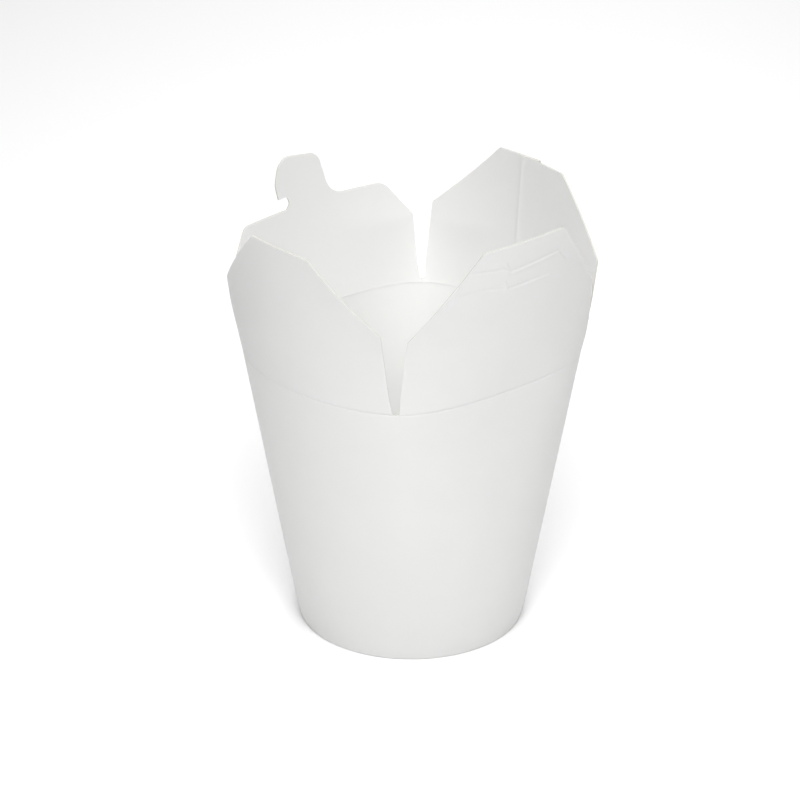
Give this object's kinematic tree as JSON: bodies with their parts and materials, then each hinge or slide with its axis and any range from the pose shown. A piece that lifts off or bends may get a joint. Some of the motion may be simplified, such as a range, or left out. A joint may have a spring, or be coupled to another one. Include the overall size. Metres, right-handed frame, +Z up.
{
  "type": "noodle takeaway box",
  "caption": "Plain white paperboard takeaway box for noodles, open: round foot, flaring wall, and creased lid flaps, one with a locking tab and one with its slot.",
  "frame": {"origin": "on the box's upright axis, at the level of the table it stands on", "axes": "+Z up; the slits between the flaps lie towards +X, -X, +Y and -Y; the picture looks along +Y with the front slit at -Y"},
  "size_m": [0.1273, 0.1299, 0.1589],
  "materials": {
    "wall_sleeve_board": "satin",
    "base_disc_board": "satin",
    "plain_flap_board": "satin",
    "slot_flap_board": "satin",
    "seam_flap_board": "satin",
    "tab_flap_board": "satin"
  },
  "bodies": {
    "box": {"wall_sleeve": "wall_sleeve_board", "base_disc": "base_disc_board"},
    "plain_flap": {"plain_flap": "plain_flap_board"},
    "seam_flap": {"seam_flap": "seam_flap_board"},
    "slot_flap": {"slot_flap": "slot_flap_board"},
    "tab_flap": {"tab_flap": "tab_flap_board"}
  },
  "joints": [
    {"name": "plain_flap_crease", "type": "hinge", "parent": "box", "child": "plain_flap", "pos_m": [-0.02985, -0.02979, 0.1028], "axis": [-0.7079, 0.7063, 0], "range_deg": [0, 96], "stiffness_Nm_per_rad": 0.002},
    {"name": "seam_flap_crease", "type": "hinge", "parent": "box", "child": "seam_flap", "pos_m": [0.02973, 0.02991, 0.1028], "axis": [0.7047, -0.7095, 0], "range_deg": [0, 88], "stiffness_Nm_per_rad": 0.002},
    {"name": "slot_flap_crease", "type": "hinge", "parent": "box", "child": "slot_flap", "pos_m": [0.02972, -0.02978, 0.1028], "axis": [-0.7063, -0.7079, 0], "range_deg": [0, 60], "stiffness_Nm_per_rad": 0.002},
    {"name": "tab_flap_crease", "type": "hinge", "parent": "box", "child": "tab_flap", "pos_m": [-0.02985, 0.02991, 0.1028], "axis": [0.7063, 0.7079, 0], "range_deg": [0, 64], "stiffness_Nm_per_rad": 0.002}
  ]
}
